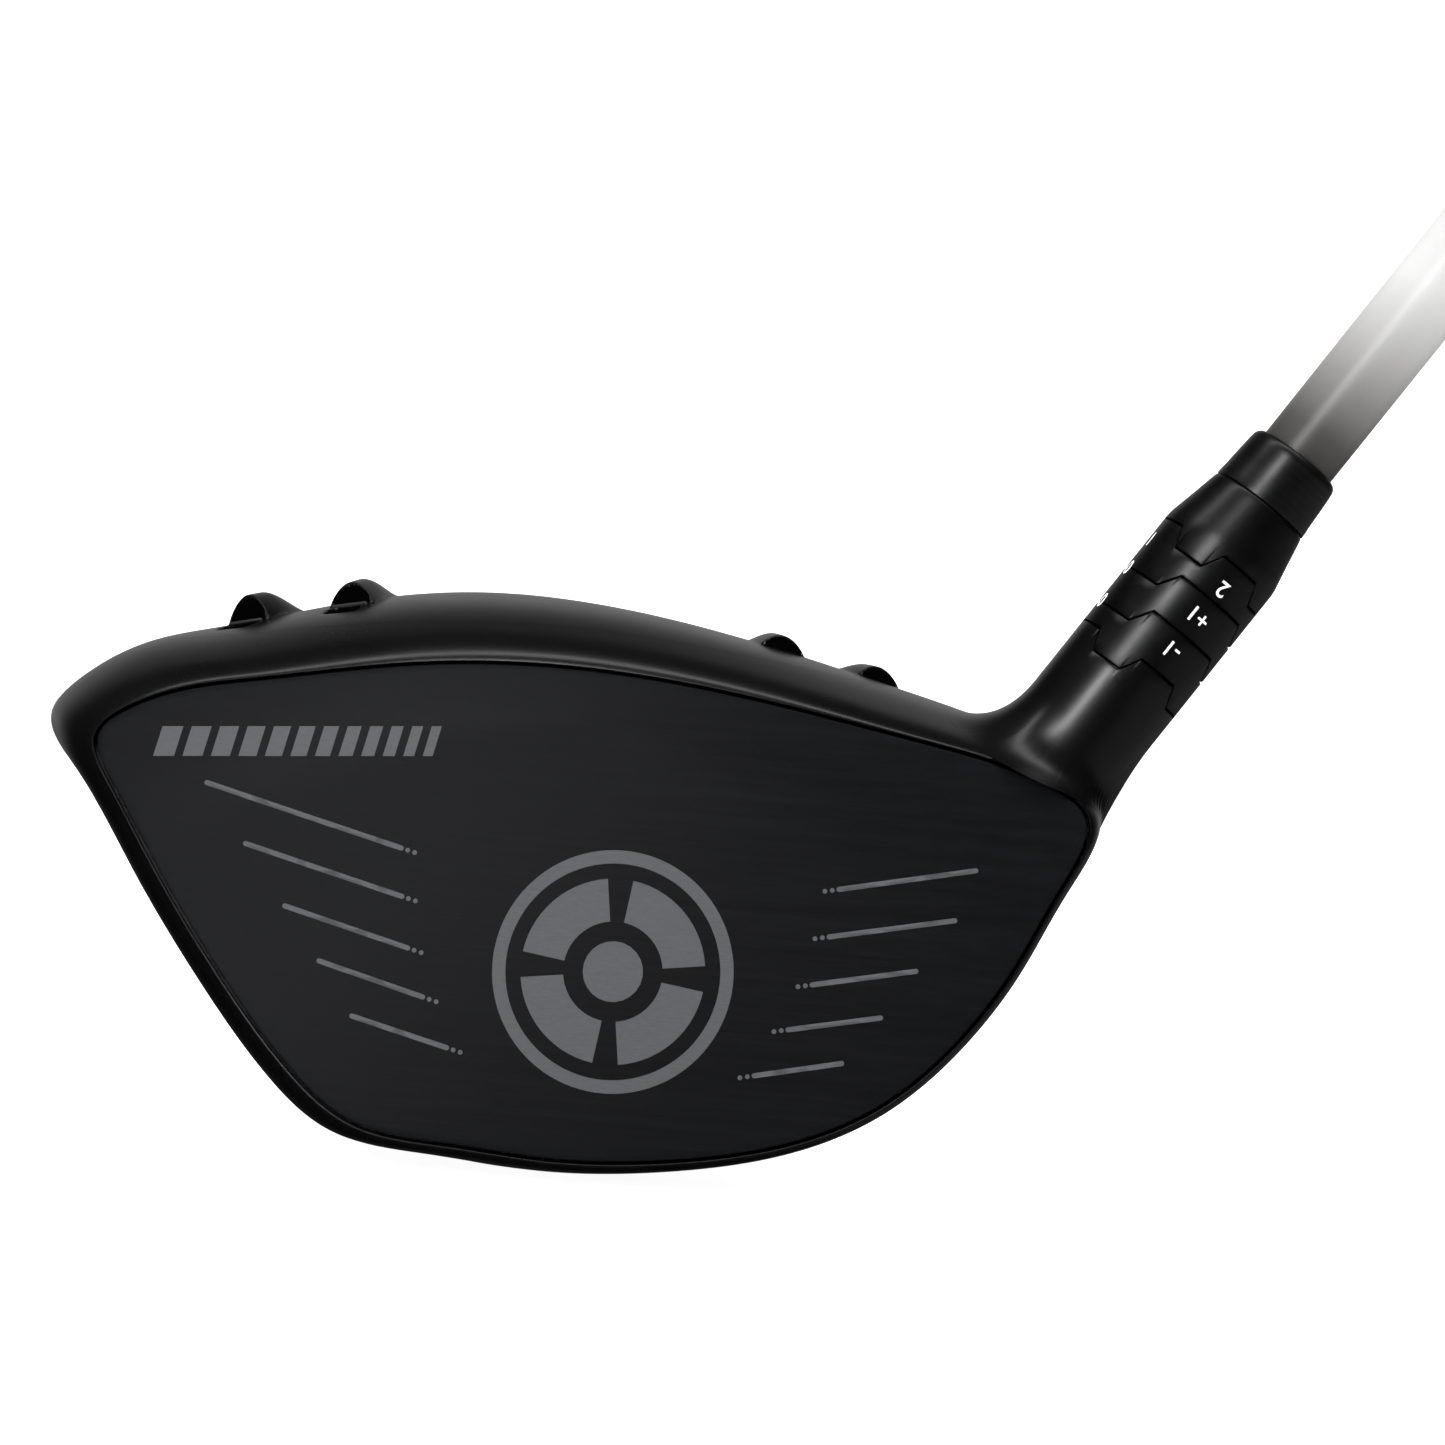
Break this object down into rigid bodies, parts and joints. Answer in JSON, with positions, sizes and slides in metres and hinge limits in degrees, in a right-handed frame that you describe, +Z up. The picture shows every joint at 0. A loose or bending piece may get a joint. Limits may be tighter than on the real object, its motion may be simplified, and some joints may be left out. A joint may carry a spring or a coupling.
{
  "type": "golf driver",
  "caption": "Right-handed golf driver with a hollow black head, dark brushed face, crown turbulators, adjustable hosel rings, tapered shaft and rubber grip.",
  "frame": {"origin": "middle of the small flat on the sole that the head rests on at address", "axes": "+Z up at address, +X towards the heel, -Y towards the target; the shaft leans 34 degrees from +Z towards +X"},
  "size_m": [0.7376, 0.1086, 0.9594],
  "materials": {
    "head_gloss_black": "gloss black paint",
    "face_dark_brushed": "dark brushed",
    "crown_gloss_black": "clear-coated black composite",
    "sole_composite": "clear-coated composite weave",
    "weight_steel": "turned, bead-blasted",
    "seal_rubber": "matt",
    "screw_steel": "black oxide",
    "nylon_black": "moulded",
    "ring_anodised": "black anodised",
    "sleeve_anodised": "black anodised",
    "ferrule_black": "polished",
    "shaft_grey": "gloss grey paint",
    "tape_cream": "paper tape",
    "grip_rubber": "matt, patterned"
  },
  "bodies": {
    "head": {"head_body": "head_gloss_black", "face_plate": "face_dark_brushed", "crown_shell": "crown_gloss_black", "sole_plate": "sole_composite"},
    "screw": {"hosel_screw": "screw_steel", "screw_washer": "nylon_black", "screw_retainer": "nylon_black"},
    "ring_lower": {"ring_lower": "ring_anodised"},
    "ring_middle": {"ring_middle": "ring_anodised"},
    "ring_upper": {"ring_upper": "ring_anodised"},
    "shaft_assembly": {"shaft_sleeve": "sleeve_anodised", "ferrule": "ferrule_black", "shaft": "shaft_grey", "shaft_tip_plug": "nylon_black", "grip_tape": "tape_cream", "grip": "grip_rubber", "grip_cap": "grip_rubber"},
    "rear_seal": {"rear_weight_seal": "seal_rubber"},
    "rear_weight": {"rear_weight": "weight_steel"},
    "front_seal": {"front_weight_seal": "seal_rubber"},
    "front_weight": {"front_weight": "weight_steel"}
  },
  "joints": [
    {"name": "stack_lift", "type": "slide", "parent": "head", "child": "ring_lower", "axis": [0.5592, 0, 0.829], "range_m": [0, 0.042]},
    {"name": "middle_ring_lift", "type": "slide", "parent": "ring_lower", "child": "ring_middle", "axis": [0.5592, 0, 0.829], "range_m": [0, 0.0035]},
    {"name": "upper_ring_lift", "type": "slide", "parent": "ring_middle", "child": "ring_upper", "axis": [0.5592, 0, 0.829], "range_m": [0, 0.0035]},
    {"name": "sleeve_lift", "type": "slide", "parent": "ring_upper", "child": "shaft_assembly", "axis": [0.5592, 0, 0.829], "range_m": [0, 0.008]},
    {"name": "hosel_screw_turn", "type": "hinge", "parent": "head", "child": "screw", "pos_m": [0.02548, -0.006, 0.01658], "axis": [-0.5592, 0, -0.829], "range_deg": [0, 3600]},
    {"name": "rear_weight_travel", "type": "slide", "parent": "head", "child": "rear_seal", "axis": [0, 1, 0], "range_m": [0, 0.008]},
    {"name": "rear_weight_turn", "type": "hinge", "parent": "rear_seal", "child": "rear_weight", "pos_m": [-0.004, 0.08, 0.0285], "axis": [0, 1, 0], "range_deg": [0, 2880]},
    {"name": "front_weight_travel", "type": "slide", "parent": "head", "child": "front_seal", "axis": [0, 0, -1], "range_m": [0, 0.008]},
    {"name": "front_weight_turn", "type": "hinge", "parent": "front_seal", "child": "front_weight", "pos_m": [-0.0055, 0.024, 0.0045], "axis": [0, 0, -1], "range_deg": [0, 2880]}
  ],
  "couplings": [
    {"joint": "hosel_screw_turn", "follows": "sleeve_lift", "rad_per_m": 7854},
    {"joint": "rear_weight_turn", "follows": "rear_weight_travel", "rad_per_m": 6283.2},
    {"joint": "front_weight_turn", "follows": "front_weight_travel", "rad_per_m": 6283.2}
  ]
}
